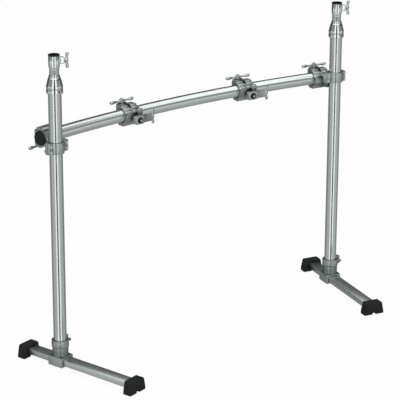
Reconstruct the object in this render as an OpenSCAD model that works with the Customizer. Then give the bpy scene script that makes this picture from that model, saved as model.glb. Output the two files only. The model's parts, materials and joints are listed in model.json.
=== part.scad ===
// Drum rack frame: two tubular posts on swivelling T-shaped legs, joined by a curved
// crossbar that carries clamps for drum and cymbal arms. Millimetres, Z up, front is -Y.
// The origin is on the floor, in the middle of the frame's length and depth.

/* [Tubes] */
// Outside diameter of the posts and the crossbar
tube_d = 38.1; // [36:0.1:40]
// Wall thickness of the posts and the crossbar
tube_wall = 1.8; // [1.2:0.1:2.4]
// Distance between the two post axes
post_spacing = 1060; // [900:10:1300]
// Height of the top end of each post
post_top = 861; // [780:1:1000]

/* [Crossbar] */
// Height of the crossbar's axis
bar_height = 686; // [400:1:720]
// Radius of the arc that the crossbar's axis follows
bar_radius = 2930; // [2600:10:4000]
// How far the crossbar reaches past the middle of each corner clamp's jaw
bar_overhang = 30; // [30:1:60]
// Distance from the post's axis to the bar's axis, inside a corner clamp
bar_offset = 58; // [57.5:0.5:66]
// How far inboard of its post a corner clamp's jaw is centred
jaw_inset = 24; // [20:1:30]
// Thickness of the bar's end caps
cap_thickness = 3.5; // [2:0.5:8]
// How far the flange of an end cap stands proud of the bar
cap_lip = 1.6; // [0:0.1:3]

/* [Hinged jaws] */
// Length of a jaw along the bar
jaw_length = 56; // [50:1:64]
// Thickness of a jaw's curved wall
jaw_wall = 5.4; // [5:0.1:7]
// Gap around the bar, and between the jaw and the saddle
jaw_gap = 0.3; // [0.2:0.05:0.5]
// Distance from the bar's axis back to the swing bolt
bolt_back = 31.5; // [31:0.5:38]
// Height of the jaw's ear above the bar's axis, where the swing bolt crosses it
ear_top = 28.5; // [28:0.5:34]
// Depth of the swing bolt's pivot under the bar's axis
pivot_drop = 8; // [7:0.5:10]
// Diameter of the swing bolt
swing_bolt_d = 7.8; // [6:0.1:9]
// Length of the cross handle from tip to tip
handle_span = 88; // [70:1:100]

/* [Corner clamps] */
// Height of the collar round the post
collar_height = 32; // [28:1:36]
// Wall thickness of the collar round the post
collar_wall = 5.2; // [4:0.1:5.4]
// Reach of the collar's inboard ears from the post's axis
ear_in = 40; // [36:1:46]
// Reach of the collar's outboard ears from the post's axis
ear_out = 33; // [32:1:42]
// Diameter of the cap screws
cap_screw_d = 5; // [4:0.5:6]

/* [Accessory clamps] */
// Place of the left accessory clamp along the bar's arc
clamp_a_place = -205; // [-300:1:-150]
// Place of the right accessory clamp along the bar's arc
clamp_b_place = 235; // [150:1:300]
// Diameter of the hole that takes a rod
rod_hole_d = 10.6; // [8:0.1:12.8]
// Height of the rod holder
holder_height = 24; // [23:1:32]
// Depth of the rod holder from front to back
holder_depth = 17; // [15:0.5:20]
// Diameter of the stud that the rod holder turns on
stud_d = 6.6; // [5:0.1:8]
// Diameter of the washer round the stud
washer_d = 18; // [14:0.5:20]

/* [Risers] */
// Outside diameter of the riser tube
riser_d = 25.4; // [22:0.1:27]
// Length of the riser tube below its head
riser_length = 330; // [200:5:500]
// How far the head stands above the post's collar
riser_out = 3; // [2:1:200]
// Outside diameter of the riser's head
head_d = 32; // [31:0.5:38]
// Height of the riser's head
head_height = 57; // [50:1:70]
// Diameter of the hole in the head's bush, which takes a tube
socket_d = 22.4; // [18:0.1:22.8]
// Span of the wings on a head's screw
head_wing_span = 46; // [36:1:56]
// Span of the wings on a rod holder's screw
rod_wing_span = 45; // [36:1:56]
// Direction of the head's wing screw, in degrees from +X
screw_turn = -24; // [-60:1:0]
// Largest diameter of the collar on the post's top
bell_d = 47.6; // [46:0.1:56]
// Height of the collar on the post's top
bell_height = 51; // [48:1:70]

/* [Legs] */
// Distance from the post to the front foot
leg_front = 266; // [200:1:340]
// Distance from the post to the back foot
leg_back = 113; // [112:1:180]
// Angle that each leg's front turns inwards by
toe_in = 13.9; // [12:0.1:18]
// Width of the leg's tube
leg_w = 36; // [30:0.5:38]
// Height of the leg's tube
leg_h = 17.5; // [14:0.5:20]
// Wall thickness of the leg's tube
leg_wall = 2; // [1.2:0.1:3]
// Height of the underside of the leg's tube
leg_lift = 13.5; // [11:0.5:16]
// Width of the cast base across the leg
base_w = 49; // [48:0.5:60]
// Length of the cast base along the leg
base_l = 52; // [50:1:70]
// Height of the top of the base's socket
socket_top = 85; // [78:1:110]
// Width of a rubber foot at the floor
foot_w = 68; // [62:1:80]
// Width of a rubber foot at its top
foot_top_w = 56; // [50:1:60]
// Length of a rubber foot along the leg
foot_l = 28; // [24:1:40]
// Height of a rubber foot
foot_h = 40; // [38:1:50]

/* [Hidden] */
$fn = 64;
arc_steps = 1440;
reach = 5.25 * tube_d;
slip = 0.08;
seat = 0.25;

chrome = [0.86, 0.87, 0.88];
satin = [0.72, 0.75, 0.75];
casting = [0.5, 0.54, 0.53];
rubber = [0.12, 0.13, 0.13];

tube_r = tube_d / 2;
jaw_bore_r = tube_r + jaw_gap;
jaw_r = jaw_bore_r + jaw_wall;

// Corner clamp: the angle on the bar's arc at which the clamp's saddle meets the bar
arm = bar_radius - bar_offset;
clamp_angle = asin(post_spacing / 2 / norm([arm, jaw_inset])) - atan2(jaw_inset, arm);
bar_angle = 2 * (clamp_angle + bar_overhang / bar_radius * 180 / PI);

// Legs set the frame's depth, so they place the posts in it
foot_half = foot_w / 2;
front_reach = (leg_front + foot_l) * cos(toe_in) + foot_half * sin(toe_in);
back_reach = (leg_back + foot_l) * cos(toe_in) + foot_half * sin(toe_in);
post_y = (front_reach - back_reach) / 2;
arc_centre_y = post_y - arm * cos(clamp_angle) + jaw_inset * sin(clamp_angle);

leg_top = leg_lift + leg_h;
base_wall = 5.5;
base_top = leg_top + base_wall + seat;
neck_r = tube_r + 4.4;
band_r = tube_r + 6.3;
band_height = 20;
band_bottom = socket_top - band_height;
saw_cut = 1;
socket_recess = 0.5;
key_lug_h = band_height + 6;
post_bottom = base_top - socket_recess + seat;

bell_cover = 32;
bell_waist = 22;
bell_bottom = post_top - bell_cover;
bell_top = bell_bottom + bell_height;
head_bottom = bell_top + riser_out;
head_top = head_bottom + head_height;
screw_height = head_top - 18;

split_front = 5;
hinge_back = -(jaw_r + 1.5);
hinge_up = 14;
knuckle_r = 5.5;
knuckle_l = jaw_length / 3 - 2 * jaw_gap;
hinge_pin_r = 2.4;
pivot_pin_r = 2.9;
eye_r = 7;
eye_w = 12;
ear_back = bolt_back + 6.5;
ear_front = -4;
ear_round = 4;
fork_back = bolt_back - 8;
lug_w = 30;
fork_gap = 9.4;
fork_floor = jaw_bore_r + 2;
foot_drop = jaw_bore_r + 12;
foot_front = -14;
foot_back = 16;
foot_round = 6;
ear_low = -(pivot_drop + 8);
hub_bottom = ear_top + 0.4;
hub_h = 10;
hub_r = 7.6;
handle_up = hub_bottom + hub_h / 2;

collar_low = -1;
collar_mid = collar_low + collar_height / 2;
collar_r = tube_r + slip + collar_wall;
lug_depth = 9;
web_back = hinge_back - knuckle_r - 12.6;
web_depth = 10;
web_low = -(jaw_bore_r + 3);
web_inset = 20;
web_left = jaw_inset - web_inset;
web_right = jaw_length / 2 - 0.5;

boss_x = -1;
boss_z = -7;
boss_r = 10.5;
boss_front = -(jaw_r + 13.6);
holder_back = boss_front - jaw_gap;
holder_front = holder_back - holder_depth;
holder_l = 28;
arm_l = 34;
arm_x = boss_x + holder_l / 2;
arm_end = arm_x + arm_l;
rod_x = arm_x + 12;
arm_mid_y = holder_back - holder_depth / 2;
wing_screw_r = 3;

// Placing

// Puts its children at a post: side is -1 for the left and 1 for the right
module at_post(side) {
    translate([side * post_spacing / 2, post_y, 0]) children();
}

// Puts its children on a leg, whose front points along local -Y
module at_leg(side) {
    at_post(side) rotate([0, 0, -side * toe_in]) children();
}

// Puts its children on the bar's axis, with local X along the bar
module on_bar(angle) {
    translate([0, arc_centre_y, bar_height]) rotate([0, 0, -angle])
        translate([0, bar_radius, 0]) children();
}

// Both corner clamps are the same part: the left one is turned upside down
module at_corner(side) {
    on_bar(side * clamp_angle) rotate([0, side < 0 ? 180 : 0, 0]) children();
}

module on_arc(place) {
    on_bar(place / bar_radius * 180 / PI) children();
}

// Extrudes a side view (back, up) by a length along X
module along_x(length) {
    rotate([90, 0, 90]) linear_extrude(length, center = true) children();
}

module rod_x_axis(r, length) {
    rotate([0, 90, 0]) cylinder(r = r, h = length, center = true);
}

module rod_y_axis(r, length) {
    rotate([90, 0, 0]) cylinder(r = r, h = length, center = true);
}

// Posts and their top collars
module post(side) {
    color(satin) at_post(side) translate([0, 0, post_bottom]) difference() {
        cylinder(r = tube_r, h = post_top - post_bottom);
        translate([0, 0, -1]) cylinder(r = tube_r - tube_wall, h = post_top - post_bottom + 2);
    }
}

bush_wall = 2;
bush_r = riser_d / 2 + slip + bush_wall;

neck_lip = 1.6;
bell_neck_r = bush_r + 1.4;

collar_screw_r = 3;
collar_screw_turn = -90;
low_screw_z = bell_bottom + 7;
high_screw_z = bell_top - 9;

// Local X runs out of the collar through its screw at height z
module at_collar_screw(side, z) {
    at_post(side) translate([0, 0, z]) rotate([0, 0, collar_screw_turn]) children();
}

module post_collar(side) {
    color(chrome) difference() {
        at_post(side) rotate_extrude() difference() {
            polygon([
                [0, bell_bottom], [bell_d / 2 - 1.5, bell_bottom], [bell_d / 2, bell_bottom + 3],
                [bell_d / 2, bell_bottom + bell_waist], [bell_neck_r + neck_lip, bell_top - 7],
                [bell_neck_r, bell_top - 5], [bell_neck_r, bell_top], [0, bell_top]
            ]);
            translate([0, bell_bottom - 1]) square([tube_r + slip, post_top - bell_bottom + 1 + seat]);
            translate([0, bell_bottom]) square([bush_r + slip, bell_height + 1]);
        }
        for (z = [low_screw_z, high_screw_z]) at_collar_screw(side, z)
            translate([bell_d / 2, 0, 0]) rod_x_axis(collar_screw_r + slip, bell_d / 2 + 2);
    }
}

// A headless screw whose end shows in the collar's surface
module collar_screw(from, to) {
    translate([(from + to) / 2, 0, 0]) rod_x_axis(collar_screw_r, to - from);
}

module collar_screws() {
    color(chrome) for (side = [-1, 1]) {
        at_collar_screw(side, low_screw_z) collar_screw(tube_r + seat, bell_d / 2 + 0.3);
        at_collar_screw(side, high_screw_z) collar_screw(bush_r + seat, bell_neck_r + neck_lip + 1.2);
    }
}

module collar_bush(side) {
    bush_low = post_top + seat;
    color(rubber) at_post(side) translate([0, 0, bush_low]) difference() {
        cylinder(r = bush_r, h = bell_top - bush_low - 1);
        translate([0, 0, -1]) cylinder(r = riser_d / 2 + slip, h = bell_height);
    }
}

// Risers, whose tubes are seated this far up inside their heads
riser_seat = 18;
sleeve_h = 18;
sleeve_step = 1.8;

module riser(side) {
    tube_l = riser_length + riser_seat;
    color(chrome) at_post(side) translate([0, 0, head_bottom - riser_length]) difference() {
        cylinder(r = riser_d / 2, h = tube_l);
        translate([0, 0, -1]) cylinder(r = riser_d / 2 - tube_wall, h = tube_l + 2);
    }
}

head_wall_r = head_d / 2;
head_bush_r = socket_d / 2 + 2;
rim_h = 3;
screw_boss_l = 13;
screw_boss_w = 15;
screw_boss_h = 19;

// Turns local X to the head's wing screw
module at_head_screw(side) {
    at_post(side) translate([0, 0, screw_height]) rotate([0, 0, screw_turn]) children();
}

module riser_head(side) {
    color(satin) difference() {
        union() {
            at_post(side) rotate_extrude() polygon([
                [0, head_bottom], [head_wall_r - sleeve_step, head_bottom],
                [head_wall_r - sleeve_step, head_bottom + sleeve_h],
                [head_wall_r, head_bottom + sleeve_h + 2 * sleeve_step],
                [head_wall_r, head_top - rim_h], [0, head_top - rim_h]
            ]);
            at_head_screw(side) translate([head_wall_r + screw_boss_l / 2 - 4, 0, 0])
                cube([screw_boss_l + 8, screw_boss_w, screw_boss_h], center = true);
        }
        at_post(side) translate([0, 0, head_bottom - 1]) cylinder(r = riser_d / 2 + slip, h = riser_seat + 1 + seat);
        at_post(side) translate([0, 0, head_bottom + riser_seat + 2]) cylinder(r = head_bush_r + slip, h = head_height);
        at_head_screw(side) translate([reach / 2, 0, 0]) rod_x_axis(wing_screw_r + slip, reach);
    }
}

module head_bush(side) {
    floor_h = riser_seat + 2.2;
    color(rubber) difference() {
        union() {
            at_post(side) translate([0, 0, head_bottom + floor_h])
                cylinder(r = head_bush_r, h = head_height - floor_h);
            at_post(side) translate([0, 0, head_top - rim_h + 0.05])
                cylinder(r = head_wall_r + 0.6, h = rim_h);
        }
        at_post(side) translate([0, 0, head_bottom]) cylinder(r = socket_d / 2, h = head_height + 2);
    }
}

// Butterfly wings in the XZ plane on a hub along X, centred on the hub's inner end
module wing(hub_radius, span) {
    tip_r = 5.5;
    lobe_x = 7.5;
    lobe_z = span / 2 - tip_r;
    hub_l = 11;
    translate([hub_l / 2, 0, 0]) rod_x_axis(hub_radius, hub_l);
    rotate([90, 0, 0]) linear_extrude(3.8, center = true) for (m = [-1, 1]) {
        translate([lobe_x, m * lobe_z]) circle(tip_r);
        polygon([
            [1, 0], [hub_l - 1, 0], [lobe_x + tip_r - 0.4, m * (lobe_z - 2)],
            [lobe_x + tip_r - 0.4, m * lobe_z], [lobe_x + 0.4 - tip_r, m * lobe_z],
            [lobe_x + 0.4 - tip_r, m * (lobe_z - 2)]
        ]);
    }
}

module head_wing_screw(side) {
    tip = head_bush_r + 0.4;
    hub_x = head_wall_r + screw_boss_l + 0.4;
    color(chrome) at_head_screw(side) {
        translate([(tip + hub_x + 2) / 2, 0, 0]) rod_x_axis(wing_screw_r, hub_x + 2 - tip);
        translate([hub_x, 0, 0]) wing(6.5, head_wing_span);
    }
}

// Legs
module leg_tube(side) {
    tube_l = leg_front + leg_back + 2 * (foot_l - 6);
    middle_y = (leg_back - leg_front) / 2;
    color(casting) at_leg(side) translate([0, middle_y, leg_lift + leg_h / 2]) difference() {
        cube([leg_w, tube_l, leg_h], center = true);
        cube([leg_w - 2 * leg_wall, tube_l + 2, leg_h - 2 * leg_wall], center = true);
    }
}

// A rubber foot whose inner face is at local y = 0 and which points along local -Y
module rubber_foot() {
    notch_w = 11;
    notch_h = 6;
    difference() {
        rotate([90, 0, 0]) linear_extrude(foot_l) polygon([
            [-foot_w / 2, 0], [-notch_w / 2, 0], [-notch_w / 2 + 2, notch_h], [notch_w / 2 - 2, notch_h],
            [notch_w / 2, 0], [foot_w / 2, 0], [foot_w / 2, 8], [foot_top_w / 2, foot_h - 3],
            [foot_top_w / 2 - 4, foot_h], [4 - foot_top_w / 2, foot_h], [-foot_top_w / 2, foot_h - 3],
            [-foot_w / 2, 8]
        ]);
        translate([-leg_w / 2 - slip, seat - foot_l + 6 - 2 * seat, leg_lift - slip])
            cube([leg_w + 2 * slip, foot_l, leg_h + 2 * slip]);
    }
}

module front_foot(side) {
    color(rubber) at_leg(side) translate([0, -leg_front, 0]) rubber_foot();
}

module back_foot(side) {
    color(rubber) at_leg(side) translate([0, leg_back, 0]) rotate([0, 0, 180]) rubber_foot();
}

key_x = band_r + 4.5;
key_r = 3;
slit_w = 2.4;
key_lug_l = 17;
key_lug_w = 20;
key_lug_lift = 1.5;
key_slit_l = 24;

// The key screw's frame: local X points away from the post, through the middle of the lugs
module at_key(side) {
    at_leg(side) translate([0, 0, socket_top - band_height / 2]) rotate([0, 0, 18]) children();
}

module base(side) {
    color(casting) difference() {
        union() {
            at_leg(side) translate([0, 0, (leg_lift - base_wall + base_top) / 2])
                cube([base_w, base_l, base_top - leg_lift + base_wall], center = true);
            at_leg(side) translate([0, 0, base_top - 1]) cylinder(r = neck_r, h = socket_top - base_top);
            at_leg(side) translate([0, 0, band_bottom]) cylinder(r = band_r, h = band_height);
            at_key(side) translate([key_x - 4, 0, key_lug_lift])
                cube([key_lug_l, key_lug_w, key_lug_h], center = true);
        }
        at_leg(side) translate([0, 0, base_top - socket_recess]) cylinder(r = tube_r + slip, h = reach);
        at_leg(side) translate([0, 0, leg_lift + leg_h / 2])
            cube([leg_w + 2 * slip, base_l + 2, leg_h + 2 * slip], center = true);
        at_key(side) translate([key_x - 2, 0, 0]) cube([key_slit_l, slit_w, band_height + 14], center = true);
        at_key(side) translate([key_x, 0, 0]) rod_y_axis(key_r + slip, 30);
        at_leg(side) rotate([0, 0, 18]) translate([-band_r, 0, band_bottom])
            cube([2 * band_r - 8, 3 * band_r, 2 * saw_cut], center = true);
    }
}

module base_key_screw(side) {
    color(chrome) at_key(side) translate([key_x, 0, 0]) {
        rod_y_axis(key_r, 29);
        translate([0, -12.4, 0]) rod_y_axis(5.4, 4.4);
        translate([0, -17, 0]) cube([6, 6, 6], center = true);
        translate([0, 12.6, 0]) rotate([90, 0, 0]) cylinder(r = 6, h = 5, center = true, $fn = 6);
    }
}

// Crossbar
module crossbar() {
    color(satin) translate([0, arc_centre_y, bar_height]) rotate([0, 0, 90 - bar_angle / 2])
        rotate_extrude(angle = bar_angle, $fn = arc_steps) translate([bar_radius, 0]) difference() {
            circle(tube_r);
            circle(tube_r - tube_wall);
        }
}

module bar_cap(side) {
    color(rubber) on_bar(side * bar_angle / 2) rotate([0, side * 90, 0]) {
        cylinder(r = tube_r + cap_lip, h = cap_thickness);
        translate([0, 0, -11]) cylinder(r = tube_r - tube_wall - seat, h = 11.5);
    }
}

// Hinged clamp that a saddle and a jaw make round the bar. The side views are (back, up).
// The saddle's flat foot, with rounded lower corners
module foot_profile() {
    straight_h = foot_drop - jaw_bore_r - foot_round;
    translate([foot_front, foot_round - foot_drop]) square([foot_back - foot_front, straight_h]);
    translate([foot_front + foot_round, -foot_drop])
        square([foot_back - foot_front - 2 * foot_round, foot_round + 1]);
    for (x = [foot_front + foot_round, foot_back - foot_round]) translate([x, foot_round - foot_drop])
        circle(foot_round);
}

module saddle_profile() {
    difference() {
        union() {
            circle(jaw_r);
            foot_profile();
        }
        circle(jaw_bore_r);
        translate([0, -jaw_gap]) square(reach);
        translate([-reach, split_front - jaw_gap]) square([reach + 0.01, reach]);
    }
}

// The narrow lug behind the saddle that holds the swing bolt's pivot
module saddle_lug_profile() {
    difference() {
        translate([0, ear_low]) square([ear_back, -ear_low - jaw_gap]);
        circle(jaw_bore_r + 1);
    }
}

// A block with rounded top corners, from front to back, standing on the bar's level
module ear_profile(front, back) {
    translate([front, 0]) square([back - front, ear_top - ear_round]);
    translate([front + ear_round, 0]) square([back - front - 2 * ear_round, ear_top]);
    for (x = [front + ear_round, back - ear_round]) translate([x, ear_top - ear_round]) circle(ear_round);
}

module jaw_lug_profile() {
    difference() {
        ear_profile(ear_front + 2, ear_back);
        circle(jaw_bore_r + 1);
        translate([-reach, -reach]) square([2 * reach, reach + jaw_gap]);
    }
}

module jaw_profile() {
    difference() {
        union() {
            circle(jaw_r);
            ear_profile(ear_front, fork_back);
        }
        circle(jaw_bore_r);
        translate([0, -reach]) square([reach, reach + jaw_gap]);
        translate([-reach, -reach]) square([reach + 0.01, reach + split_front + jaw_gap]);
    }
}

module saddle_knuckle_profile() {
    difference() {
        union() {
            translate([hinge_back, hinge_up]) circle(knuckle_r);
            translate([hinge_back - knuckle_r, 0]) square([knuckle_r, hinge_up]);
            translate([hinge_back - knuckle_r, -8]) square([14, split_front - jaw_gap + 8]);
        }
        circle(jaw_bore_r + 1);
        intersection() {
            circle(jaw_r + jaw_gap);
            translate([-reach, split_front - jaw_gap]) square([reach, reach]);
        }
    }
}

module jaw_knuckle_profile() {
    difference() {
        union() {
            translate([hinge_back, hinge_up]) circle(knuckle_r);
            translate([hinge_back, hinge_up - knuckle_r]) square([12, 2 * knuckle_r]);
        }
        circle(jaw_bore_r + 1);
    }
}

module saddle() {
    difference() {
        union() {
            along_x(jaw_length) saddle_profile();
            along_x(lug_w) saddle_lug_profile();
            for (m = [-1, 1]) translate([m * (jaw_length - knuckle_l) / 2, 0, 0])
                along_x(knuckle_l) saddle_knuckle_profile();
        }
        translate([0, hinge_back, hinge_up]) rod_x_axis(hinge_pin_r + slip, reach);
        translate([0, bolt_back, -pivot_drop]) rod_x_axis(pivot_pin_r + slip, reach);
        translate([0, bolt_back - eye_r - 0.6 + reach / 2, -pivot_drop])
            cube([eye_w + 0.8, reach, 40], center = true);
    }
}

module jaw() {
    color(casting) difference() {
        union() {
            along_x(jaw_length) jaw_profile();
            along_x(lug_w) jaw_lug_profile();
            along_x(knuckle_l) jaw_knuckle_profile();
        }
        translate([0, hinge_back, hinge_up]) rod_x_axis(hinge_pin_r + slip, reach);
        translate([0, bolt_back - swing_bolt_d / 2 - 0.6 + reach / 2, reach / 2])
            cube([swing_bolt_d + 1.2, reach, reach], center = true);
        translate([0, 0, fork_floor + reach / 2])
            cube([fork_gap, 2 * (bolt_back - hub_r - 1.5), reach], center = true);
    }
}

module clamp_pins() {
    color(chrome) {
        translate([0, hinge_back, hinge_up]) rod_x_axis(hinge_pin_r, jaw_length + 1);
        for (m = [-1, 1]) translate([m * (jaw_length / 2 + 1.2), hinge_back, hinge_up])
            rod_x_axis(hinge_pin_r + 1.4, 1.8);
        translate([0, bolt_back, -pivot_drop]) rod_x_axis(pivot_pin_r, lug_w);
    }
}

module swing_bolt() {
    color(chrome) difference() {
        union() {
            translate([0, bolt_back, -pivot_drop]) rod_x_axis(eye_r, eye_w);
            translate([0, bolt_back, -pivot_drop])
                cylinder(r = swing_bolt_d / 2, h = pivot_drop + hub_bottom + hub_h + 3);
        }
        translate([0, bolt_back, -pivot_drop]) rod_x_axis(pivot_pin_r + slip, eye_w + 2);
    }
}

module cross_handle() {
    arm_r = 3.4;
    tip_r = 4.8;
    color(chrome) translate([0, bolt_back, 0]) difference() {
        union() {
            translate([0, 0, hub_bottom]) cylinder(r = hub_r, h = hub_h);
            for (m = [0, 180]) rotate([0, 0, m]) translate([0, 0, handle_up]) rotate([0, 90, 0]) {
                cylinder(r1 = arm_r, r2 = tip_r - 0.4, h = handle_span / 2 - tip_r);
                translate([0, 0, handle_span / 2 - tip_r]) sphere(tip_r);
            }
        }
        translate([0, 0, hub_bottom - 1]) cylinder(r = swing_bolt_d / 2 + slip, h = hub_h + 2);
    }
}

// Corner clamps: local origin on the bar's axis, the post at (jaw_inset, -bar_offset)
module at_collar() {
    translate([jaw_inset, -bar_offset, collar_mid]) children();
}

module cap_screw_places() {
    for (x = [-(collar_r + ear_in) / 2, (collar_r + ear_out) / 2], z = [-1, 1]) at_collar()
        translate([x, 0, z * collar_height / 4]) children();
}

module collar_body(front) {
    at_collar() intersection() {
        union() {
            cylinder(r = collar_r, h = collar_height, center = true);
            translate([(ear_out - ear_in) / 2, 0, 0])
                cube([ear_in + ear_out, 2 * lug_depth, collar_height], center = true);
        }
        translate([0, front * (reach / 2 + jaw_gap), 0]) cube([reach, reach, reach], center = true);
    }
}

// The web that ties the collar to the saddle, under the hinge
module web_profile() {
    rise = split_front - jaw_gap - 1;
    top = collar_low + collar_height - 1;
    difference() {
        union() {
            translate([web_back, web_low]) square([web_depth, top - web_low]);
            translate([web_back, web_low]) square([-web_back - jaw_bore_r / 2, rise - web_low]);
        }
        circle(jaw_bore_r + 2);
        translate([hinge_back, hinge_up]) circle(knuckle_r + jaw_gap);
    }
}

module corner_clamp(side) {
    color(casting) at_corner(side) difference() {
        union() {
            saddle();
            collar_body(1);
            translate([(web_left + web_right) / 2, 0, 0]) along_x(web_right - web_left) web_profile();
        }
        at_collar() cylinder(r = tube_r + slip, h = reach, center = true);
        cap_screw_places() rod_y_axis(cap_screw_d / 2 + slip, 60);
    }
}

module post_cap(side) {
    color(satin) at_corner(side) difference() {
        collar_body(-1);
        at_collar() cylinder(r = tube_r + slip, h = reach, center = true);
        cap_screw_places() rod_y_axis(cap_screw_d / 2 + slip, 60);
    }
}

module cap_screws(side) {
    color(chrome) at_corner(side) cap_screw_places() {
        rod_y_axis(cap_screw_d / 2, 2 * lug_depth + 2);
        translate([0, -lug_depth - 1.8, 0]) rod_y_axis(cap_screw_d / 2 + 1.8, 3.4);
        translate([0, lug_depth + 2.1, 0]) rotate([90, 0, 0])
            cylinder(r = cap_screw_d / 2 + 2.2, h = 4, center = true, $fn = 6);
    }
}

// Accessory clamps: the saddle carries a stud that the rod holder turns on
module accessory_saddle(place) {
    color(casting) on_arc(place) difference() {
        union() {
            saddle();
            translate([boss_x, (boss_front - jaw_bore_r - 2) / 2, boss_z])
                rod_y_axis(boss_r, -boss_front - jaw_bore_r - 2);
        }
        translate([boss_x, boss_front, boss_z]) rod_y_axis(stud_d / 2 + slip, 20);
        rod_x_axis(jaw_bore_r, reach);
    }
}

module stud(place) {
    stud_l = 10 + holder_depth + 5;
    color(chrome) on_arc(place) translate([boss_x, boss_front + 9.5 - stud_l / 2, boss_z])
        rod_y_axis(stud_d / 2, stud_l);
}

module rod_holder(place) {
    color(satin) on_arc(place) difference() {
        union() {
            translate([boss_x, arm_mid_y, boss_z])
                cube([holder_l, holder_depth, holder_height], center = true);
            translate([arm_x + arm_l / 2 - 1, arm_mid_y, boss_z])
                cube([arm_l + 2, holder_depth - 2, holder_height - 4], center = true);
        }
        translate([boss_x, arm_mid_y, boss_z]) rod_y_axis(stud_d / 2 + slip, reach);
        translate([rod_x, arm_mid_y, boss_z]) cylinder(r = rod_hole_d / 2, h = reach, center = true);
        translate([rod_x + reach / 2, arm_mid_y, boss_z]) rod_x_axis(wing_screw_r + slip, reach);
    }
}

module washer(place) {
    color(rubber) on_arc(place) translate([boss_x, holder_front - 1.2 - jaw_gap, boss_z]) difference() {
        rod_y_axis(washer_d / 2, 2.4);
        rod_y_axis(stud_d / 2 + slip, 5);
    }
}

module rod_wing_screw(place) {
    tip = rod_x + rod_hole_d / 2 + 0.5;
    hub_x = arm_end + 0.5;
    color(chrome) on_arc(place) translate([0, arm_mid_y, boss_z]) {
        translate([(tip + hub_x + 3) / 2, 0, 0]) rod_x_axis(wing_screw_r, hub_x + 3 - tip);
        translate([hub_x, 0, 0]) wing(6, rod_wing_span);
    }
}

post(-1);  // left_post
post(1);  // right_post
post_collar(-1);  // left_post_collar
post_collar(1);  // right_post_collar
collar_bush(-1);  // left_collar_bush
collar_bush(1);  // right_collar_bush
collar_screws();
riser(-1);  // left_riser
riser(1);  // right_riser
riser_head(-1);  // left_riser_head
riser_head(1);  // right_riser_head
head_bush(-1);  // left_head_bush
head_bush(1);  // right_head_bush
head_wing_screw(-1);  // left_head_wing_screw
head_wing_screw(1);  // right_head_wing_screw
base(-1);  // left_base
base(1);  // right_base
base_key_screw(-1);  // left_base_key_screw
base_key_screw(1);  // right_base_key_screw
leg_tube(-1);  // left_leg_tube
leg_tube(1);  // right_leg_tube
front_foot(-1);  // left_front_foot
front_foot(1);  // right_front_foot
back_foot(-1);  // left_back_foot
back_foot(1);  // right_back_foot
crossbar();
bar_cap(-1);  // left_bar_cap
bar_cap(1);  // right_bar_cap
corner_clamp(-1);  // left_corner_clamp
corner_clamp(1);  // right_corner_clamp
post_cap(-1);  // left_post_cap
post_cap(1);  // right_post_cap
cap_screws(-1);  // left_cap_screws
cap_screws(1);  // right_cap_screws
at_corner(-1) jaw();  // left_corner_jaw
at_corner(1) jaw();  // right_corner_jaw
at_corner(-1) clamp_pins();  // left_corner_pins
at_corner(1) clamp_pins();  // right_corner_pins
at_corner(-1) swing_bolt();  // left_swing_bolt
at_corner(1) swing_bolt();  // right_swing_bolt
at_corner(-1) cross_handle();  // left_cross_handle
at_corner(1) cross_handle();  // right_cross_handle
accessory_saddle(clamp_a_place);  // clamp_a_saddle
accessory_saddle(clamp_b_place);  // clamp_b_saddle
on_arc(clamp_a_place) jaw();  // clamp_a_jaw
on_arc(clamp_b_place) jaw();  // clamp_b_jaw
on_arc(clamp_a_place) clamp_pins();  // clamp_a_pins
on_arc(clamp_b_place) clamp_pins();  // clamp_b_pins
stud(clamp_a_place);  // clamp_a_stud
stud(clamp_b_place);  // clamp_b_stud
on_arc(clamp_a_place) swing_bolt();  // clamp_a_swing_bolt
on_arc(clamp_b_place) swing_bolt();  // clamp_b_swing_bolt
on_arc(clamp_a_place) cross_handle();  // clamp_a_cross_handle
on_arc(clamp_b_place) cross_handle();  // clamp_b_cross_handle
rod_holder(clamp_a_place);  // clamp_a_rod_holder
rod_holder(clamp_b_place);  // clamp_b_rod_holder
washer(clamp_a_place);  // clamp_a_washer
washer(clamp_b_place);  // clamp_b_washer
rod_wing_screw(clamp_a_place);  // clamp_a_wing_screw
rod_wing_screw(clamp_b_place);  // clamp_b_wing_screw
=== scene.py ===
# %% [markdown]
# # Drum rack frame: the looks
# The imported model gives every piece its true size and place, in metres, with Z up. This
# lesson dresses it: bright plated tube, satin die castings, moulded rubber and nylon.
# Hard machined edges look wrong in a render, so the castings and feet are copied, joined up
# and rounded. The collars, heads, caps, handles and wing screws are modelled afresh.

# %% Load the frame
import math

import bmesh
import bpy
import json
from mathutils import Matrix, Quaternion, Vector

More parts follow.
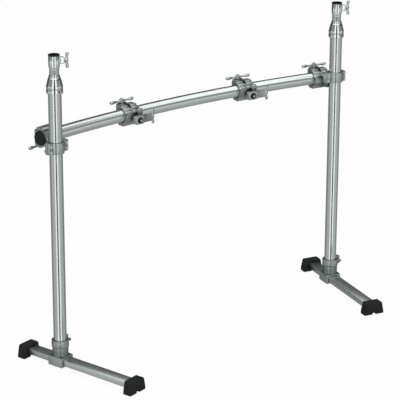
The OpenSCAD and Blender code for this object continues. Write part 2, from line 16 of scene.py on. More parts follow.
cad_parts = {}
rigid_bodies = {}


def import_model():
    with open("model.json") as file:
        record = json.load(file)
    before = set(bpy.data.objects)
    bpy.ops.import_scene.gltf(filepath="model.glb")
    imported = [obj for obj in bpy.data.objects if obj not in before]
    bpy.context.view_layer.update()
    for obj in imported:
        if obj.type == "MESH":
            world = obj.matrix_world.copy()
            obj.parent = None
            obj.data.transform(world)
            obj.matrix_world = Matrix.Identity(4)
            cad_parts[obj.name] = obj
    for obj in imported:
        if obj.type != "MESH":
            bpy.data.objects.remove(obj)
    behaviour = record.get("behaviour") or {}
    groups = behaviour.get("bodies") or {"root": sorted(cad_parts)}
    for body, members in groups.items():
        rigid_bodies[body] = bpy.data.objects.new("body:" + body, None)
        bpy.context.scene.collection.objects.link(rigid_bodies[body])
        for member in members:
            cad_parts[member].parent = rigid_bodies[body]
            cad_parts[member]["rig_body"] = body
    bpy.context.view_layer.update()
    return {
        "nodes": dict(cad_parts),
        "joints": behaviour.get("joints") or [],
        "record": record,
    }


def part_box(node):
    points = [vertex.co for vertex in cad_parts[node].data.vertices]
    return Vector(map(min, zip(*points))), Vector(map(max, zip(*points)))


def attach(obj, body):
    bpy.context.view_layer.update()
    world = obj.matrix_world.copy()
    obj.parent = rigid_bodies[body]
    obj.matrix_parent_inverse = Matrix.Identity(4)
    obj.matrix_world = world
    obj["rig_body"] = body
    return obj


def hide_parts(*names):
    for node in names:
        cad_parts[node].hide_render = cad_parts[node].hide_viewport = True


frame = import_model()
nodes = frame["nodes"]
scene = bpy.context.scene
scene.view_settings.view_transform = "Standard"

# %% [markdown]
# ## The camera
# The photograph was taken with a long lens from the front left, above the bar. A camera can
# be turned by eye until it fits. Here its place was worked out from the posts' edges, the
# bar's curve and the feet, for a square picture, so that sizes can be compared with it.

# %% Camera
CAMERA_PLACE = Vector((-3.124, -3.857, 2.153))
CAMERA_YAW = math.radians(38.35)
CAMERA_PITCH = math.radians(17.28)
CAMERA_ROLL = math.radians(0.18)
SENSOR_MM = 36.0
FOCAL_IN_FRAMES = 4.378
PICTURE_SHIFT = -0.15
FARTHEST = 60.0


def make_camera():
    data = bpy.data.cameras.new("camera")
    data.sensor_width = SENSOR_MM
    data.lens = FOCAL_IN_FRAMES * SENSOR_MM
    data.shift_y = PICTURE_SHIFT
    data.clip_end = FARTHEST
    camera = bpy.data.objects.new("camera", data)
    scene.collection.objects.link(camera)
    level = math.cos(CAMERA_PITCH)
    looks_at = Vector((
        math.sin(CAMERA_YAW) * level,
        math.cos(CAMERA_YAW) * level,
        -math.sin(CAMERA_PITCH),
    ))
    camera.location = CAMERA_PLACE
    camera.rotation_mode = "QUATERNION"
    roll = Quaternion((0, 0, 1), CAMERA_ROLL)
    camera.rotation_quaternion = looks_at.to_track_quat("-Z", "Y") @ roll
    scene.camera = camera


make_camera()
print("lens in mm", scene.camera.data.lens)

# %% [markdown]
# ## A small kit for node materials
# Every finish is a Principled shader with a few texture nodes before it. These helpers add
# a node, join two sockets and stretch a noise along one direction, which is how brushed or
# drawn metal gets its grain. The noise reads Object coordinates, so it stays on the piece.

# %% Nodes and sockets
def add_node(tree, kind, **values):
    node = tree.nodes.new(kind)
    for name, value in values.items():
        if name in node.inputs:
            node.inputs[name].default_value = value
        else:
            setattr(node, name, value)
    return node


def join(tree, source, output, target, socket):
    tree.links.new(source.outputs[output], target.inputs[socket])


def start_material(name, **values):
    material = bpy.data.materials.new(name)
    material.use_nodes = True
    tree = material.node_tree
    shader = tree.nodes["Principled BSDF"]
    for socket, value in values.items():
        shader.inputs[socket.replace("_", " ")].default_value = value
    return material, tree, shader


# %% Noise, ramp and bump
def noise_on_object(tree, scale, stretch=(1, 1, 1), turn=0.0, detail=3.0, roughness=0.5):
    place = add_node(tree, "ShaderNodeTexCoord")
    mapping = add_node(tree, "ShaderNodeMapping")
    mapping.vector_type = "TEXTURE"
    mapping.inputs["Rotation"].default_value = (0, 0, turn)
    mapping.inputs["Scale"].default_value = stretch
    join(tree, place, "Object", mapping, "Vector")
    noise = add_node(tree, "ShaderNodeTexNoise", Scale=scale, Detail=detail, Roughness=roughness)
    join(tree, mapping, "Vector", noise, "Vector")
    return noise


def ramp(tree, source, output, start, end):
    """A change from one grey or colour to another, each given with its place on the ramp."""
    node = add_node(tree, "ShaderNodeValToRGB")
    for element, (place, value) in zip(node.color_ramp.elements, (start, end)):
        element.position = place
        element.color = (*value, 1.0) if isinstance(value, tuple) else (value, value, value, 1.0)
    join(tree, source, output, node, "Fac")
    return node


def roughen(tree, shader, source, start, end):
    """Let a noise move the roughness between two values."""
    join(tree, ramp(tree, source, "Fac", start, end), "Color", shader, "Roughness")


def bump(tree, shader, source, strength, depth):
    node = add_node(tree, "ShaderNodeBump", Strength=strength, Distance=depth)
    join(tree, source, "Fac", node, "Height")
    join(tree, node, "Normal", shader, "Normal")


# %% [markdown]
# ## Plated tube
# The posts and the crossbar are drawn steel tube with a satin-bright plating. Its fine
# grain runs along the tube, so the noise is stretched along Z on the posts and along X on
# the bar. The grain moves the roughness and a shallow bump, which breaks the reflections
# up into soft lines. An anisotropic shader draws such lines too, but it needs a direction
# on every face, and a stretched noise works on the model's mesh as it is.

# %% Plated tube
GRAIN_LENGTH = 90.0
GRAIN_FINENESS = 1500.0
GRAIN_DEPTH = 0.00004
PLATED_ROUGHNESS = (0.14, 0.24)
PLATED_DENT = 0.12


def tube_material(name, color, stretch, turn=0.0, rough=PLATED_ROUGHNESS, dent=PLATED_DENT):
    material, tree, shader = start_material(name, Metallic=1.0, Base_Color=color)
    grain = noise_on_object(tree, GRAIN_FINENESS, stretch, turn, detail=2.0)
    smoothest, roughest = rough
    roughen(tree, shader, grain, (0.3, smoothest), (0.7, roughest))
    bump(tree, shader, grain, dent, GRAIN_DEPTH)
    return material


plated_post = tube_material("plated_post", (0.72, 0.75, 0.745, 1), (1, 1, GRAIN_LENGTH))
plated_bar = tube_material("plated_bar", (0.80, 0.83, 0.825, 1), (GRAIN_LENGTH, 1, 1))
print("made", plated_post.name, plated_bar.name)

# %% [markdown]
# ## Bright fittings
# Collars, risers, heads, pins and screws are polished and plated brighter than the tube.
# The handles and wing screws get a darker copy of the same plating, as painted shade for the
# dark reflections that they catch from the clamps around them. An even mirror finish would
# look computer-clean, so a broad, faint noise clouds it a little.

# %% Bright fittings
CLOUDS = 60.0
POLISH_MARKS = 700.0
POLISH_DENT = 0.05
POLISH_DEPTH = 0.00003


def bright_material(name, color):
    material, tree, shader = start_material(name, Metallic=1.0, Base_Color=color)
    clouds = noise_on_object(tree, CLOUDS, detail=4.0)
    roughen(tree, shader, clouds, (0.3, 0.07), (0.75, 0.15))
    marks = noise_on_object(tree, POLISH_MARKS, detail=2.0)
    bump(tree, shader, marks, POLISH_DENT, POLISH_DEPTH)
    return material


bright_plate = bright_material("bright_plate", (0.82, 0.845, 0.84, 1))
# painted shade: a darker copy of the bright plating, for the handles and wing screws
shaded_handle_plate = bright_material("shaded_handle_plate", (0.58, 0.61, 0.60, 1))
print("made", bright_plate.name, shaded_handle_plate.name)

# %% [markdown]
# ## Satin castings
# The clamps and the bases are die cast and tumbled: grey, with a fine pebbled skin, and a
# little brighter where handling has polished the corners. Wear could be painted on by hand.
# Pointiness finds the corners by itself, and ambient occlusion finds the crevices, which are
# darkened as painted shade, so one recipe serves every casting.

# %% Satin castings
PEBBLES = 900.0
PEBBLE_DENT = 0.25
PEBBLE_DEPTH = 0.00012
PATCHES = 45.0
PATCH_LIGHTER = 1.18
# how far the painted shade in the crevices reaches, and how dark it gets
CREVICE_REACH = 0.012
CREVICE_DARK = 0.12


def polished_corners(tree, tone, worn):
    """The tone, with the worn colour on the corners."""
    geometry = add_node(tree, "ShaderNodeNewGeometry")
    corners = ramp(tree, geometry, "Pointiness", (0.505, 0.0), (0.56, 1.0))
    mix = add_node(tree, "ShaderNodeMix", data_type="RGBA")
    join(tree, corners, "Color", mix, 0)
    join(tree, tone, "Color", mix, 6)
    mix.inputs[7].default_value = (*worn, 1.0)
    return mix


def painted_crevice_shade(tree, tone):
    """The tone, with painted shade: made darker where the skin faces a wall near by."""
    open_to = add_node(tree, "ShaderNodeAmbientOcclusion", Distance=CREVICE_REACH, samples=8)
    crevice = ramp(tree, open_to, "AO", (0.25, CREVICE_DARK), (0.9, 1.0))
    mix = add_node(tree, "ShaderNodeMix", data_type="RGBA", blend_type="MULTIPLY")
    mix.inputs[0].default_value = 1.0
    join(tree, tone, 2, mix, 6)
    join(tree, crevice, "Color", mix, 7)
    return mix


def casting_material(name, base, worn, rough):
    material, tree, shader = start_material(name, Metallic=0.9)
    skin = noise_on_object(tree, PEBBLES, detail=5.0, roughness=0.6)
    patches = noise_on_object(tree, PATCHES, detail=3.0)
    lighter = tuple(channel * PATCH_LIGHTER for channel in base)
    tone = ramp(tree, patches, "Fac", (0.3, base), (0.75, lighter))
    # painted shade: the tone is darkened in the crevices by ambient occlusion
    with_painted_shade = painted_crevice_shade(tree, polished_corners(tree, tone, worn))
    join(tree, with_painted_shade, 2, shader, "Base Color")
    smoothest, roughest = rough
    roughen(tree, shader, patches, (0.3, smoothest), (0.7, roughest))
    bump(tree, shader, skin, PEBBLE_DENT, PEBBLE_DEPTH)
    return material


casting = casting_material(
    "satin_casting", (0.22, 0.25, 0.24), (0.5, 0.53, 0.52), (0.3, 0.46)
)
light_casting = casting_material(
    "light_casting", (0.31, 0.34, 0.33), (0.58, 0.61, 0.60), (0.24, 0.36)
)
print("made", casting.name, light_casting.name)

# %% [markdown]
# ## Leg tube
# The legs are rectangular tube with a duller, brushed grey finish. The grain follows the
# leg, which is toed in. The piece itself stays where it is, and the Mapping node turns the
# noise by the same angle.

# %% Leg tube
TOE_IN = math.radians(13.9)
LEG_GREY = (0.72, 0.765, 0.755, 1)
LEG_ROUGHNESS = (0.27, 0.33)
LEG_DENT = 0.05


def leg_material(side):
    stretch = (1, GRAIN_LENGTH, 1)
    turn = -side * TOE_IN
    return tube_material(f"leg_{side}", LEG_GREY, stretch, turn, LEG_ROUGHNESS, LEG_DENT)


leg_metals = {side: leg_material(side) for side in (-1, 1)}
print("made", [metal.name for metal in leg_metals.values()])

# %% [markdown]
# ## Rubber and nylon
# Both are black, but rubber is matt and dusty, with a moulded skin, while nylon keeps a
# soft shine. One dark colour would look like a hole in the picture, so a noise lays dust on
# it, and neither is pure black: even a black moulding sends back a little of the light.

# %% Rubber and nylon
MOULD_DENT = 0.3


def black_material(name, dark, dusty, rough, grain_fineness, grain_depth):
    material, tree, shader = start_material(name, Specular_IOR_Level=0.25)
    dust = noise_on_object(tree, 30.0, detail=5.0)
    tone = ramp(tree, dust, "Fac", (0.35, dark), (0.8, dusty))
    join(tree, tone, "Color", shader, "Base Color")
    smoothest, roughest = rough
    roughen(tree, shader, dust, (0.3, smoothest), (0.7, roughest))
    grain = noise_on_object(tree, grain_fineness, detail=4.0)
    bump(tree, shader, grain, MOULD_DENT, grain_depth)
    return material


rubber = black_material(
    "moulded_rubber", (0.009, 0.010, 0.010), (0.018, 0.019, 0.019), (0.6, 0.8), 1100.0, 0.00015
)
nylon = black_material(
    "black_nylon", (0.008, 0.009, 0.009), (0.014, 0.015, 0.015), (0.38, 0.5), 1600.0, 0.00005
)
print("made", rubber.name, nylon.name)

# %% [markdown]
# ## Finishes by name
# The record names a slot for each node. Sixty assignments by hand would be easy to get
# wrong, so a table turns the slot into a finish, and a few nodes have a finish of their
# own, such as the legs with their turned grain.

# %% Finish of each node
SLOT_FINISH = {
    "chrome_fitting": bright_plate,
    "cast_metal": casting,
    "rubber": rubber,
    "black_nylon": nylon,
    "chrome_tube": plated_post,
}


def side_of(name):
    return -1 if name.startswith("left") else 1


def finish_of(name):
    if name == "crossbar":
        return plated_bar
    if name.endswith("leg_tube"):
        return leg_metals[side_of(name)]
    if name.endswith(("rod_holder", "post_cap")):
        return light_casting
    if name == "collar_screws":
        return nylon
    return SLOT_FINISH[node_slot[name]]


node_slot = {part["node"]: part["material_slot"] for part in frame["record"]["subparts"]}
for name, node in nodes.items():
    node.data.materials.clear()
    node.data.materials.append(finish_of(name))
    node.data.shade_smooth()
print("finishes", sorted({node.data.materials[0].name for node in nodes.values()}))

# %% [markdown]
# ## A new piece for a node
# A finished bmesh becomes an object with its material. It then rides on its node's body and
# stands for that node.

# %% Finish a piece
def body_with(name):
    return nodes[name]["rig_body"]


def object_from(mesh_bm, name, material):
    mesh = bpy.data.meshes.new(name)
    mesh_bm.to_mesh(mesh)
    mesh_bm.free()
    mesh.materials.append(material)
    mesh.shade_smooth()
    piece = bpy.data.objects.new(name, mesh)
    scene.collection.objects.link(piece)
    return piece


def stand_for(name, made_by, mesh_bm, material):
    """Turn a bmesh into the piece that is shown instead of a node."""
    piece = object_from(mesh_bm, f"{name}_{made_by}", material)
    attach(piece, body_with(name))
    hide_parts(name)
    print("made", piece.name, "with", len(piece.data.polygons), "faces")


# %% [markdown]
# ## Rounding what was cut sharp
# A cast clamp has no knife edges, and its rounds are what catch the light. A Bevel modifier
# can't find them on a CAD node, whose mesh is loose triangles. So a copy is merged into one
# skin, its flat triangles are joined into whole faces, and the edges that turn by more than
# an angle are bevelled: a little on the castings, and more on soft rubber.

# %% Round the edges
SHARP = math.radians(28)
FLAT = math.radians(1.0)
MERGE = 0.00001
ROUND_SEGMENTS = 2
ROUNDED = {
    "corner_clamp": 0.0011,
    "post_cap": 0.0012,
    "corner_jaw": 0.0013,
    "saddle": 0.0011,
    "jaw": 0.0013,
    "rod_holder": 0.0016,
    "base": 0.0010,
    "leg_tube": 0.0016,
    "foot": 0.0030,
}


def rounded_copy(name, width):
    skin = bmesh.new()
    skin.from_mesh(nodes[name].data)
    bmesh.ops.remove_doubles(skin, verts=skin.verts, dist=MERGE)
    bmesh.ops.dissolve_limit(
        skin, angle_limit=FLAT, verts=skin.verts, edges=skin.edges, delimit={"NORMAL"}
    )
    sharp = [e for e in skin.edges if len(e.link_faces) == 2 and e.calc_face_angle(0) > SHARP]
    bmesh.ops.bevel(
        skin, geom=sharp, offset=width, offset_type="OFFSET", segments=ROUND_SEGMENTS,
        affect="EDGES", profile=0.5, material=-1, clamp_overlap=True, harden_normals=False,
    )
    bmesh.ops.triangulate(skin, faces=[f for f in skin.faces if len(f.verts) > 4])
    stand_for(name, "rounded", skin, finish_of(name))


for name in sorted(nodes):
    for ending, width in ROUNDED.items():
        if name.endswith("_" + ending):
            rounded_copy(name, width)
            break

# %% [markdown]
# ## Turned parts
# Collars, heads and handles come off a lathe, and the moulded caps are as round. A Screw
# modifier can turn a profile. The spin operator does it at once and leaves a plain mesh: a
# few points go round the axis in enough steps that no flats show, and a matrix puts them in
# place.

# %% Spin a profile
LATHE_STEPS = 40
FINE_LATHE_STEPS = 96


def spun(profile, closed, steps=LATHE_STEPS):
    """A profile of (radius, height) pairs, turned round Z."""
    part = bmesh.new()
    points = [part.verts.new((radius, 0, height)) for radius, height in profile]
    edges = [part.edges.new(pair) for pair in zip(points, points[1:])]
    if closed:
        edges.append(part.edges.new((points[-1], points[0])))
    bmesh.ops.spin(
        part, geom=points + edges, axis=(0, 0, 1), cent=(0, 0, 0),
        angle=math.tau, steps=steps, use_merge=True,
    )
    bmesh.ops.remove_doubles(part, verts=part.verts, dist=MERGE)
    open_ring = [e for e in part.edges if e.is_boundary]
    if open_ring:
        bmesh.ops.contextual_create(part, geom=open_ring)
    bmesh.ops.recalc_face_normals(part, faces=part.faces)
    return part


def merged_into(whole, part, matrix):
    bmesh.ops.transform(part, matrix=matrix, verts=part.verts)
    mesh = bpy.data.meshes.new("part")
    part.to_mesh(mesh)
    part.free()
    whole.from_mesh(mesh)
    bpy.data.meshes.remove(mesh)


# %% [markdown]
# ## Places taken from the frame
# A new piece must lie exactly where its node lies. Typed coordinates would go stale when the
# model changes, so its directions come from the joint that it turns on or from the bar's
# arc, and its sizes from how far the node reaches.

# %% Read places and sizes
UP = Vector((0, 0, 1))
SIDES = ("left", "right")


def axes_at(origin, along, up):
    """A place whose X runs along a direction and whose Z is up."""
    across = up.cross(along)
    turn = Matrix((along, across, up)).transposed().to_4x4()
    return Matrix.Translation(origin) @ turn


def reach_along(name, origin, direction):
    """How far a node reaches from a point along a direction: its least and its most."""
    places = [(v.co - origin).dot(direction) for v in nodes[name].data.vertices]
    return min(places), max(places)


def half_width(name):
    low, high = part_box(name)
    return (high.x - low.x) / 2


def joint_of(body):
    return next(joint for joint in frame["joints"] if joint["child"] == body)


ARC_CENTRE = Vector(joint_of("clamp_a")["pos_m"])


def away_from_arc_centre(point):
    """The level direction from the centre of the bar's arc to a point."""
    back = point - ARC_CENTRE
    back.z = 0
    return back.normalized()


tube_radius = half_width("left_post")
riser_radius = half_width("left_riser")
print("tube radius", tube_radius, "riser radius", riser_radius)

# %% [markdown]
# ## Collars on the posts
# Each post ends in a turned, bell-shaped collar. It has a plain band below with one fine
# groove, a shoulder that runs in to a neck, and soft edges that catch the light. The bore is
# stepped: the post's end sits in the wide part and the guide bush in the narrow one. A
# fresh profile gives the bell its soft curve, which bevelled edges can't.

# %% Collars
FIT_GAP = 0.0001
NECK_WALL = 0.0014
# outward from the bell's widest radius, and up from the collar's lower end
COLLAR_BAND = [
    (-0.0014, 0.0), (-0.0004, 0.0005), (0.0, 0.0016), (0.0, 0.0128), (-0.0005, 0.0133),
    (-0.0005, 0.0139), (0.0, 0.0144), (0.0, 0.0205), (-0.0003, 0.0225), (-0.0010, 0.0250),
]
# outward from the neck's radius, and down from the collar's upper end
COLLAR_NECK = [
    (0.0022, 0.0085), (0.0013, 0.0066), (0.0004, 0.0056), (0.0, 0.0046), (0.0, 0.0006),
    (-0.0005, 0.0),
]


def make_collar(side):
    name = side + "_post_collar"
    low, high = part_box(name)
    post_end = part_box(side + "_post")[1].z
    bush = half_width(side + "_collar_bush")
    bell = half_width(name)
    neck = bush + NECK_WALL
    wide_bore = tube_radius + FIT_GAP
    narrow_bore = bush + FIT_GAP
    band = [(bell + out, low.z + up) for out, up in COLLAR_BAND]
    shoulder_and_neck = [(neck + out, high.z - down) for out, down in COLLAR_NECK]
    bore = [(narrow_bore, high.z), (narrow_bore, post_end), (wide_bore, post_end)]
    profile = [(wide_bore, low.z)] + band + shoulder_and_neck + bore
    whole = spun(profile, closed=True, steps=FINE_LATHE_STEPS)
    centre = (low + high) / 2
    bmesh.ops.translate(whole, vec=(centre.x, centre.y, 0), verts=whole.verts)
    stand_for(name, "turned", whole, bright_plate)


for side in SIDES:
    make_collar(side)

# %% [markdown]
# ## Heads of the risers
# A head is a turned barrel with a slimmer sleeve below it, and a cast boss on one side that
# takes the wing screw. The boss is a block with generously rounded edges. It could be joined
# on with a Boolean, but its inner end is hidden in the barrel's wall, so the two shells
# simply overlap.

# %% Heads
SLEEVE_HEIGHT = 0.018
SLEEVE_STEP = 0.0018
SLEEVE_EDGE = 0.0006
BARREL_INSIDE_BUSH = 0.0006
BARREL_WALL = 0.0027
BARREL_EDGE = 0.0004
SEAT_DEPTH = 0.0183
FLOOR_HEIGHT = 0.020
# outward from the sleeve and up from its top, where it swells into the barrel
HEAD_SHOULDER = [(0.0, 0.0), (0.0004, 0.0012), (0.0015, 0.0030), (0.0018, 0.0042)]
BOSS_ACROSS = 0.015
BOSS_HEIGHT = 0.019
BOSS_ROUND = 0.0034
BOSS_ROUND_SEGMENTS = 4
BOSS_SUNK = 0.0020


def screw_place(screw):
    """A point on a wing screw's axis, and the way the axis points."""
    joint = joint_of(body_with(screw))
    return Vector(joint["pos_m"]), Vector(joint["axis"]).normalized()


def rounded_block(size, radius):
    block = bmesh.new()
    bmesh.ops.create_cube(block, size=1.0)
    bmesh.ops.scale(block, vec=size, verts=block.verts)
    bmesh.ops.bevel(
        block, geom=block.edges[:], offset=radius, offset_type="OFFSET",
        segments=BOSS_ROUND_SEGMENTS, affect="EDGES", profile=0.5, material=-1,
    )
    return block


def head_profile(barrel, bottom, top):
    sleeve = barrel - SLEEVE_STEP
    riser = riser_radius + FIT_GAP
    seat = bottom + SEAT_DEPTH
    floor = bottom + FLOOR_HEIGHT
    socket = barrel - BARREL_WALL
    shoulder = bottom + SLEEVE_HEIGHT
    inside_below = [(0.0, seat), (riser, seat), (riser, bottom)]
    sleeve_end = [(sleeve - SLEEVE_EDGE, bottom), (sleeve, bottom + SLEEVE_EDGE)]
    swell = [(sleeve + out, shoulder + up) for out, up in HEAD_SHOULDER]
    rim = [(barrel, top - BARREL_EDGE), (barrel - BARREL_EDGE, top)]
    inside_above = [(socket, top), (socket, floor), (0.0, floor)]
    return inside_below + sleeve_end + swell + rim + inside_above


def make_head(side):
    name = side + "_riser_head"
    low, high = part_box(name)
    bush_low, bush_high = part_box(side + "_head_bush")
    axis = (bush_low + bush_high) / 2
    barrel = half_width(side + "_head_bush") - BARREL_INSIDE_BUSH
    turned = spun(head_profile(barrel, low.z, high.z), closed=False, steps=FINE_LATHE_STEPS)
    whole = bmesh.new()
    merged_into(whole, turned, Matrix.Translation((axis.x, axis.y, 0)))

    screw, along = screw_place(side + "_head_wing_screw")
    origin = Vector((axis.x, axis.y, screw.z))
    inner = barrel - BOSS_SUNK
    outer = reach_along(name, origin, along)[1]
    block = rounded_block((outer - inner, BOSS_ACROSS, BOSS_HEIGHT), BOSS_ROUND)
    merged_into(whole, block, axes_at(origin + along * (inner + outer) / 2, along, UP))
    stand_for(name, "turned", whole, bright_plate)


for side in SIDES:
    make_head(side)

# %% [markdown]
# ## Caps in the bar's ends
# A moulded rubber plug closes each end of the bar. Its flange covers the cut edge of the
# tube and its face is very slightly dished. It is as round as a turned part, so it is spun
# like one and then laid along the end of the bar's arc.

# %% Caps of the bar
CAP_STEPS = 64
PLUG_GAP = 0.0021
# outward from the plug's radius, and along the bar from the outer face
PLUG_SHAPE = [(-0.0010, -0.0145), (0.0, -0.0135), (0.0, -0.0035)]
# outward from the flange's radius, and along the bar from the outer face
FLANGE_SHAPE = [
    (-0.0005, -0.0035), (0.0, -0.0030), (0.0, -0.0014), (-0.0005, -0.0005), (-0.0015, 0.0),
    (-0.0042, 0.0), (-0.0052, -0.0004),
]
DISH = (0.0, -0.0006)
PLUG_END = (0.0, -0.0145)


def make_bar_cap(side):
    name = side + "_bar_cap"
    low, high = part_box(name)
    middle = (low + high) / 2
    back = away_from_arc_centre(middle)
    out = back.cross(UP) * (1 if side == "right" else -1)
    face = middle + out * reach_along(name, middle, out)[1]
    near, far = reach_along(name, face, back)
    centre = face + back * (near + far) / 2
    flange = (high.z - low.z) / 2
    plug = tube_radius - PLUG_GAP
    profile = [PLUG_END]
    profile += [(plug + outward, along) for outward, along in PLUG_SHAPE]
    profile += [(flange + outward, along) for outward, along in FLANGE_SHAPE]
    profile += [DISH]
    lay_down = Matrix.Rotation(math.pi / 2, 4, "Y")
    whole = bmesh.new()
    merged_into(whole, spun(profile, False, CAP_STEPS), axes_at(centre, out, UP) @ lay_down)
    stand_for(name, "moulded", whole, rubber)


for side in SIDES:
    make_bar_cap(side)

# %% [markdown]
# ## Cross handles
# Each clamp is shut by a long handle that screws down its swing bolt. The real one is
# turned and plated: a waisted hub, and two slim arms that swell into rounded grips. A
# profile of a few points is spun round its axis, once for the hub and once for each arm.
# The joint gives the screw's axis, and the bar's arc gives the direction of the arms. A
# scaled cylinder would be quicker, but the swelling grips are what the eye knows it by.

# %% Cross handles
# radius, and height along the screw
HUB_PROFILE = [
    (0.0041, -0.0050), (0.0071, -0.0050), (0.0076, -0.0045), (0.0076, -0.0032), (0.0064, -0.0018),
    (0.0062, 0.0000), (0.0064, 0.0020), (0.0071, 0.0032), (0.0070, 0.0044), (0.0060, 0.0050),
    (0.0041, 0.0050),
]
# radius, and distance from the hub's axis
ARM_PROFILE = [
    (0.0040, 0.0045), (0.0034, 0.0080), (0.0030, 0.0140), (0.0030, 0.0230), (0.0036, 0.0270),
    (0.0047, 0.0295), (0.0050, 0.0330), (0.0050, 0.0385), (0.0046, 0.0415), (0.0034, 0.0434),
    (0.0, 0.0439),
]


def make_cross_handle(name):
    low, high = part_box(name)
    centre = (low + high) / 2
    up = Vector(joint_of(body_with(name))["axis"]).normalized()
    along = away_from_arc_centre(centre).cross(up)
    place = axes_at(centre, along, up)
    whole = bmesh.new()
    merged_into(whole, spun(HUB_PROFILE, closed=True), place)
    for side in (-1, 1):
        lay_down = Matrix.Rotation(side * math.pi / 2, 4, "Y")
        merged_into(whole, spun(ARM_PROFILE, closed=False), place @ lay_down)
    stand_for(name, "turned", whole, shaded_handle_plate)


for name in sorted(nodes):
    if name.endswith("cross_handle"):
        make_cross_handle(name)

# %% [markdown]
# ## Wing screws
# The wings are cast ears that are thin at their waist and fuller at their tips. They could
# be sculpted. A row of flat oval rings, bridged one to the next, gives the same shape from
# a few numbers that can be measured, and the shank and hub are turned.

# %% Ears
EAR_STEPS = 28
EAR_HEIGHT = 0.023
# for each ring: height, middle along the screw, half its width and half its thickness
EAR_RINGS = [
    (0.0030, 0.0055, 0.0049, 0.0034), (0.0072, 0.0058, 0.0041, 0.0023),
    (0.0115, 0.0065, 0.0043, 0.0019), (0.0155, 0.0074, 0.0053, 0.0020),
    (0.0185, 0.0076, 0.0053, 0.0020), (0.0210, 0.0077, 0.0042, 0.0016),
    (0.0224, 0.0077, 0.0026, 0.0010), (0.0229, 0.0077, 0.0010, 0.0004),
]


def ear(stretch):
    part = bmesh.new()
    loops = []
    for height, middle, half_across, half_thick in EAR_RINGS:
        ring = bmesh.ops.create_circle(part, segments=EAR_STEPS, radius=1.0)["verts"]
        bmesh.ops.scale(part, vec=(half_across, half_thick, 1), verts=ring)
        bmesh.ops.translate(part, vec=(middle, 0, height * stretch), verts=ring)
        loops.append(list({e for vert in ring for e in vert.link_edges}))
    for lower, upper in zip(loops, loops[1:]):
        bmesh.ops.bridge_loops(part, edges=lower + upper)
    for end in (loops[0], loops[-1]):
        bmesh.ops.contextual_create(part, geom=[e for e in end if e.is_boundary])
    bmesh.ops.recalc_face_normals(part, faces=part.faces)
    return part


# %% Wing screws
WING_REACH = 0.013
SHANK_RADIUS = 0.0030
# radius, and distance from the screw's tip
SCREW_TIP = [(0.0, 0.0), (0.0025, 0.0), (SHANK_RADIUS, 0.0006)]
# radius, and distance along the screw from the wings' inner side
WING_HUB = [
    (SHANK_RADIUS, 0.0), (0.0054, 0.0), (0.0060, 0.0006), (0.0060, 0.0060), (0.0053, 0.0084),
    (0.0038, 0.0102), (0.0, 0.0110),
]


def make_wing_screw(name):
    origin, along = screw_place(name)
    tip, end = reach_along(name, origin, along)
    hub = end - WING_REACH
    profile = [(radius, tip - hub + further) for radius, further in SCREW_TIP] + WING_HUB
    place = axes_at(origin + along * hub, along, UP)
    lay_down = Matrix.Rotation(math.pi / 2, 4, "Y")
    whole = bmesh.new()
    merged_into(whole, spun(profile, closed=False), place @ lay_down)
    low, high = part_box(name)
    stretch = (high.z - low.z) / 2 / EAR_HEIGHT
    for flip in (0, math.pi):
        merged_into(whole, ear(stretch), place @ Matrix.Rotation(flip, 4, "X"))
    stand_for(name, "cast", whole, shaded_handle_plate)


for name in sorted(nodes):
    if name.endswith("wing_screw"):
        make_wing_screw(name)

# %% [markdown]
# ## The room that the metal shows
# Bright metal shows its surroundings, so the surroundings matter as much as the lamps. A
# wide soft box hangs overhead, two white panels stand left and right of the camera with a
# dark gap between them, and the far side of the room is dim grey. It could be built from
# real panels, but a world made of a few soft-edged areas is quicker and casts no shadow.
# The camera itself sees plain white.

# %% Helpers for the room
def math_node(tree, operation, first, second=None):
    node = add_node(tree, "ShaderNodeMath", operation=operation)
    for socket, value in enumerate((first, second)):
        if value is None:
            continue
        if isinstance(value, (int, float)):
            node.inputs[socket].default_value = value
        else:
            tree.links.new(value, node.inputs[socket])
    return node.outputs[0]


def step_up(tree, source, edge, soft):
    """0 below the edge and 1 above it, with a soft change between."""
    node = add_node(tree, "ShaderNodeMapRange", interpolation_type="SMOOTHSTEP")
    tree.links.new(source, node.inputs["Value"])
    node.inputs["From Min"].default_value = edge - soft
    node.inputs["From Max"].default_value = edge + soft
    return node.outputs["Result"]


def within(tree, source, low, high, soft):
    over_low = step_up(tree, source, low, soft)
    over_high = step_up(tree, source, high, soft)
    return math_node(tree, "SUBTRACT", over_low, over_high)


# %% World
STUDIO_TINT = (0.95, 1.0, 0.99, 1.0)
CAMERA_AZIMUTH = math.atan2(CAMERA_PLACE.y, CAMERA_PLACE.x)
PANELS_RIGHT_OF_CAMERA = math.radians(5)
SOFT_TURN = 2.0
SOFT_HEIGHT = 3.0
# degrees round from the gap between the panels, degrees up, and how bright it is
STUDIO_AREAS = [
    (-9, 11, -90, 34, 0.05),
    (11, 33, -36, 34, 1.2),
    (11, 33, -90, -36, 0.5),
    (33, 97, 5, 34, 0.28),
    (33, 97, -12, 5, 0.66),
    (33, 97, -27, -12, 0.5),
    (33, 97, -90, -27, 0.44),
    (97, 189, -90, -42, 0.34),
    (97, 189, -42, -11, 0.26),
    (97, 189, -11, 46, 0.09),
    (-9, 97, 34, 99, 1.25),
    (97, 189, 46, 99, 1.25),
]


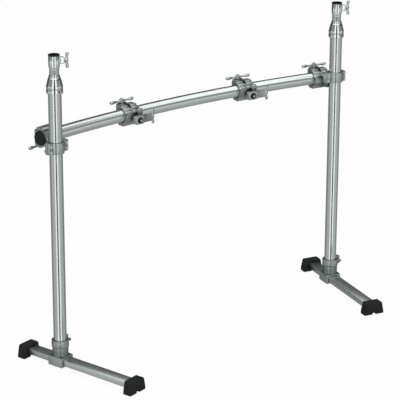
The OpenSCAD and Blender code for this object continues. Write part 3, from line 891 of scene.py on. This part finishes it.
def room_light(tree):
    """How bright the room is in each direction."""
    place = add_node(tree, "ShaderNodeTexCoord")
    axes = add_node(tree, "ShaderNodeSeparateXYZ")
    join(tree, place, "Generated", axes, "Vector")
    azimuth = math_node(tree, "ARCTAN2", axes.outputs["Y"], axes.outputs["X"])
    turn = math_node(tree, "SUBTRACT", azimuth, CAMERA_AZIMUTH + PANELS_RIGHT_OF_CAMERA)
    turn = math_node(tree, "ARCCOSINE", math_node(tree, "COSINE", turn))
    turn = math_node(tree, "DEGREES", turn)
    height = math_node(tree, "DEGREES", math_node(tree, "ARCSINE", axes.outputs["Z"]))
    light = 0.0
    for turn_from, turn_to, low, high, level in STUDIO_AREAS:
        across = within(tree, turn, turn_from, turn_to, SOFT_TURN)
        up = within(tree, height, low, high, SOFT_HEIGHT)
        area = math_node(tree, "MULTIPLY", math_node(tree, "MULTIPLY", across, up), level)
        light = math_node(tree, "ADD", area, light)
    return light


def build_world():
    world = bpy.data.worlds.new("studio")
    scene.world = world
    world.use_nodes = True
    tree = world.node_tree
    tree.nodes.clear()
    tinted = add_node(tree, "ShaderNodeMix", data_type="RGBA", blend_type="MULTIPLY")
    tinted.inputs[0].default_value = 1.0
    tree.links.new(room_light(tree), tinted.inputs[6])
    tinted.inputs[7].default_value = STUDIO_TINT
    room = add_node(tree, "ShaderNodeBackground")
    join(tree, tinted, 2, room, "Color")
    white = add_node(tree, "ShaderNodeBackground", Color=(1, 1, 1, 1), Strength=1.0)
    path = add_node(tree, "ShaderNodeLightPath")
    choose = add_node(tree, "ShaderNodeMixShader")
    out = add_node(tree, "ShaderNodeOutputWorld")
    join(tree, path, "Is Camera Ray", choose, "Fac")
    join(tree, room, 0, choose, 1)
    join(tree, white, 0, choose, 2)
    join(tree, choose, 0, out, "Surface")
    print("room areas", len(STUDIO_AREAS), "nodes", len(tree.nodes))


build_world()

# %% [markdown]
# ## Floor and lamps
# The floor is a pale disc that keeps the frame's shadow. To the camera it glows nearly white,
# as a studio floor does, and metal doesn't mirror it, because the room already has its own
# lower half. Three large lamps shape the rubber and the castings, and they don't show as hot
# spots in the plating.

# %% Floor and lamps
FLOOR_RADIUS = 6.0
FLOOR_STEPS = 96
FLOOR_GLOW = 0.94
AIM = Vector((0, 0, 0.5))
# name, place, size in metres and power in watts
LAMPS = [
    ("key", (-2.6, -1.8, 3.2), 1.6, 40),
    ("fill", (2.8, -2.6, 1.8), 2.0, 20),
    ("rim", (0.6, 3.0, 2.6), 1.5, 20),
]


def build_floor():
    disc = bmesh.new()
    bmesh.ops.create_circle(disc, cap_ends=True, segments=FLOOR_STEPS, radius=FLOOR_RADIUS)
    material, tree, shader = start_material("pale_floor", Roughness=0.9)
    clouds = noise_on_object(tree, 3.0)
    tone = ramp(tree, clouds, "Fac", (0.3, 0.7), (0.7, 0.74))
    join(tree, tone, "Color", shader, "Base Color")
    glow = add_node(tree, "ShaderNodeEmission", Strength=1.0)
    path = add_node(tree, "ShaderNodeLightPath")
    amount = add_node(tree, "ShaderNodeMath", operation="MULTIPLY")
    amount.inputs[1].default_value = FLOOR_GLOW
    join(tree, path, "Is Camera Ray", amount, 0)
    mix = add_node(tree, "ShaderNodeMixShader")
    join(tree, amount, 0, mix, 0)
    join(tree, shader, 0, mix, 1)
    join(tree, glow, 0, mix, 2)
    join(tree, mix, 0, tree.nodes["Material Output"], "Surface")
    floor = object_from(disc, "floor", material)
    floor.visible_glossy = False


def add_lamp(name, place, size, power):
    data = bpy.data.lights.new(name, "AREA")
    data.size = size
    data.energy = power
    lamp = bpy.data.objects.new(name, data)
    scene.collection.objects.link(lamp)
    lamp.location = place
    lamp.rotation_mode = "QUATERNION"
    lamp.rotation_quaternion = (AIM - Vector(place)).to_track_quat("-Z", "Y")
    lamp.visible_glossy = False


build_floor()
for name, place, size, power in LAMPS:
    add_lamp(name, place, size, power)
print("lamps", [lamp[0] for lamp in LAMPS])
